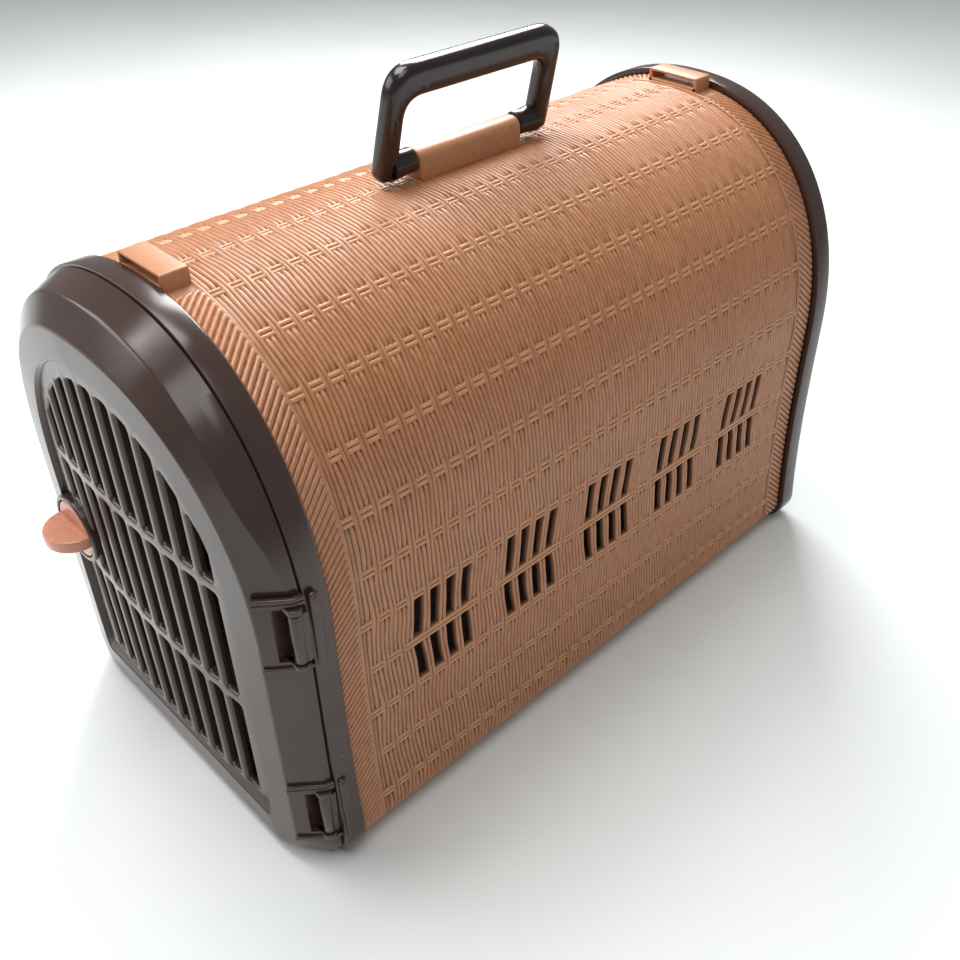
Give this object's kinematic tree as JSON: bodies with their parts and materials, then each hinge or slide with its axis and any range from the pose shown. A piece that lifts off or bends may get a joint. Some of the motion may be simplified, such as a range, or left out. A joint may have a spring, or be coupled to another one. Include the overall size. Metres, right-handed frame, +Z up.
{
  "type": "pet transport carrier",
  "caption": "Arched carrier for a small animal with a basket-weave shell, a hinged grille door with a turn latch, a rear cover and a folding top handle.",
  "frame": {"origin": "middle of the footprint, on the surface that the carrier stands on", "axes": "+Z up, the door faces -Y, the door's hinges are on the +X side"},
  "size_m": [0.2808, 0.5199, 0.4051],
  "materials": {
    "tan_plastic": "satin moulded plastic",
    "dark_plastic": "semi-gloss moulded plastic",
    "handle_plastic": "high gloss",
    "copper_plastic": "satin",
    "steel": "zinc plated"
  },
  "bodies": {
    "carrier": {"body_shell": "tan_plastic", "front_frame": "dark_plastic", "rear_cover": "dark_plastic", "hinge_clip_upper": "dark_plastic", "hinge_clip_lower": "dark_plastic", "handle_block": "tan_plastic", "handle_pivot_front": "steel", "handle_pivot_rear": "steel", "handle_plate": "steel", "strap_loop_front": "tan_plastic", "strap_loop_rear": "tan_plastic", "frame_screw_1": "steel", "cover_screw_1": "steel", "handle_screw_1": "steel", "frame_screw_2": "steel", "cover_screw_2": "steel", "handle_screw_2": "steel", "frame_screw_3": "steel", "cover_screw_3": "steel", "handle_screw_3": "steel", "frame_screw_4": "steel", "cover_screw_4": "steel", "handle_screw_4": "steel"},
    "door": {"door_panel": "dark_plastic", "hinge_pin_upper": "steel", "hinge_pin_lower": "steel"},
    "latch": {"latch_knob": "copper_plastic", "latch_cam": "dark_plastic", "latch_washer": "steel", "latch_screw": "steel"},
    "handle": {"handle_bail": "handle_plastic"}
  },
  "joints": [
    {"name": "door_hinge", "type": "hinge", "parent": "carrier", "child": "door", "pos_m": [0.131, -0.221, 0.121], "axis": [0, 0, 1], "range_deg": [0, 100]},
    {"name": "latch_turn", "type": "hinge", "parent": "door", "child": "latch", "pos_m": [-0.088, -0.235, 0.142], "axis": [0, 1, 0], "range_deg": [-90, 0]},
    {"name": "handle_fold", "type": "hinge", "parent": "carrier", "child": "handle", "pos_m": [0, 0.0185, 0.345], "axis": [0, 1, 0], "range_deg": [-104, 76]}
  ]
}
